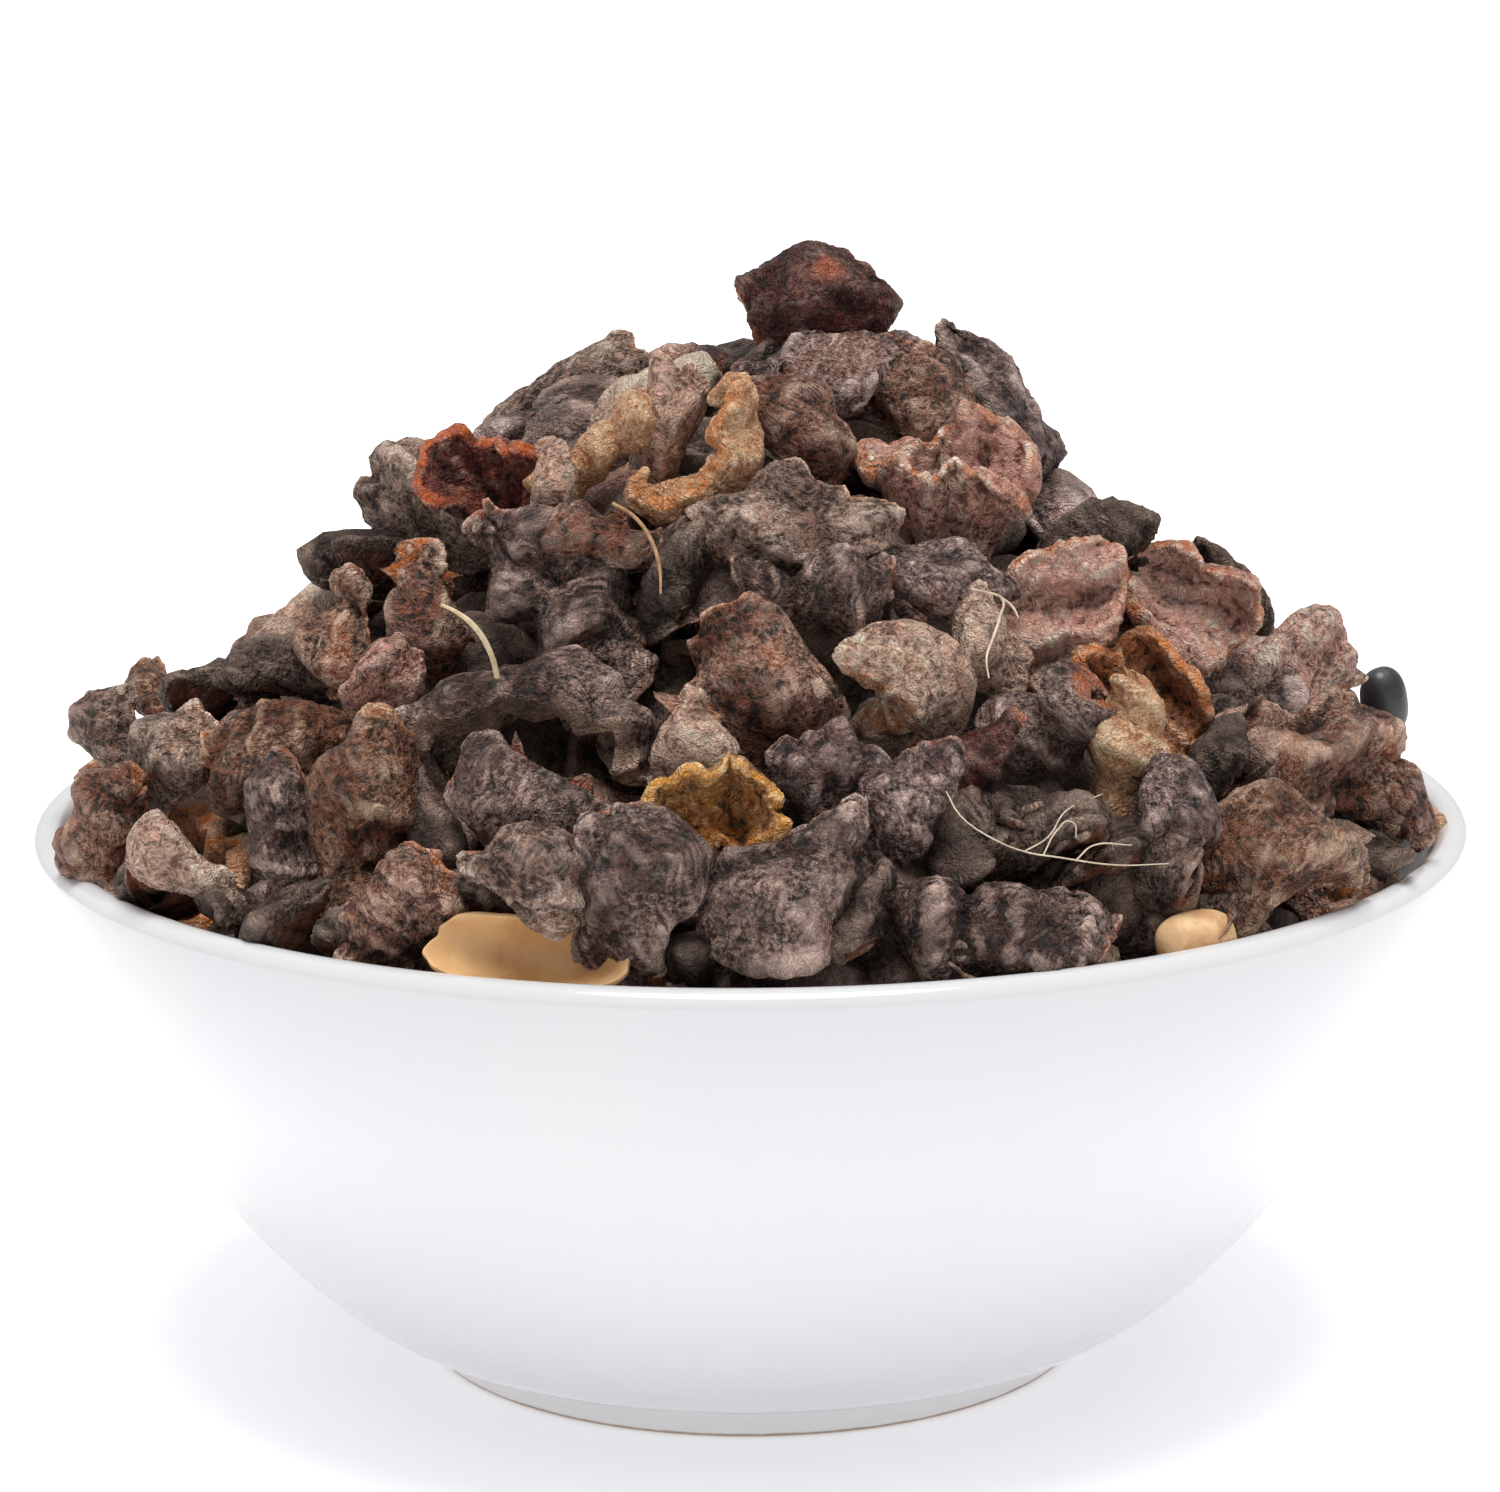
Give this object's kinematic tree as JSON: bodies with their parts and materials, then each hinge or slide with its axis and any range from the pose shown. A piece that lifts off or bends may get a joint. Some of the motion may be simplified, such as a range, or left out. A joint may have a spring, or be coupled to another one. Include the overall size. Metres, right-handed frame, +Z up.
{
  "type": "bowl of dried indian gooseberries",
  "caption": "Round white ceramic bowl on a low foot ring, heaped with dark wrinkled dried gooseberry pieces, with amber and tan ones among them.",
  "frame": {"origin": "centre of the foot ring's underside, on the surface the bowl rests on", "axes": "+Z up; -Y towards the viewer of the picture; +X to the viewer's right; the bowl turns about Z"},
  "size_m": [0.1198, 0.12, 0.0935],
  "materials": {
    "white_glaze": "white high-gloss glaze, unglazed pale brown line under the foot",
    "mixed_dried_skin": null,
    "red_flesh": null,
    "purple_grey_skin": null,
    "brown_skin": null,
    "pink_flesh": null,
    "tan_flesh": null,
    "pale_flesh": null,
    "olive_grey_skin": null,
    "amber_flesh": null,
    "dark_skin": null,
    "gold_flesh": null,
    "seed_shell_tan": null,
    "bead_black": null
  },
  "bodies": {
    "root": {"bowl": "white_glaze", "heap_bed": "mixed_dried_skin", "crest_amber": "red_flesh", "crest_slab": "purple_grey_skin", "right_horn": "purple_grey_skin", "amber_shelf": "brown_skin", "pink_cup": "pink_flesh", "brown_arch": "brown_skin", "tan_hook": "tan_flesh", "tan_log": "tan_flesh", "spike_fold": "pale_flesh", "grey_knuckle": "pale_flesh", "red_hollow": "red_flesh", "back_ridge": "olive_grey_skin", "left_crown": "olive_grey_skin", "left_brow": "brown_skin", "left_fold": "brown_skin", "left_spire": "olive_grey_skin", "left_wedge": "olive_grey_skin", "left_lip_lump": "brown_skin", "far_left_amber": "amber_flesh", "amber_slab": "amber_flesh", "small_fold": "pink_flesh", "amber_log": "amber_flesh", "grey_crescent": "dark_skin", "pale_cap": "pale_flesh", "front_ribbed": "brown_skin", "big_arch": "dark_skin", "fluted_grey": "dark_skin", "grey_star": "olive_grey_skin", "dark_wrinkled": "dark_skin", "spiral_lobes": "dark_skin", "fibre_lump": "brown_skin", "flake_top": "olive_grey_skin", "flake_belt": "dark_skin", "flake_low": "brown_skin", "tan_column": "pale_flesh", "amber_gold": "gold_flesh", "ring_whorl": "pale_flesh", "slab_diagonal": "purple_grey_skin", "pale_fan": "pink_flesh", "fan_hinge": "pale_flesh", "grey_log": "dark_skin", "red_log": "red_flesh", "grey_tooth": "purple_grey_skin", "pink_crust": "purple_grey_skin", "front_block": "dark_skin", "long_low": "dark_skin", "right_round": "pink_flesh", "right_curl": "amber_flesh", "tan_bone": "tan_flesh", "right_wing": "pink_flesh", "ribbed_half": "brown_skin", "right_lip_bit": "brown_skin", "right_round_low": "amber_flesh", "right_cluster": "purple_grey_skin", "seed_shell": "seed_shell_tan", "tan_seed": "seed_shell_tan", "black_bead": "bead_black"}
  },
  "joints": []
}
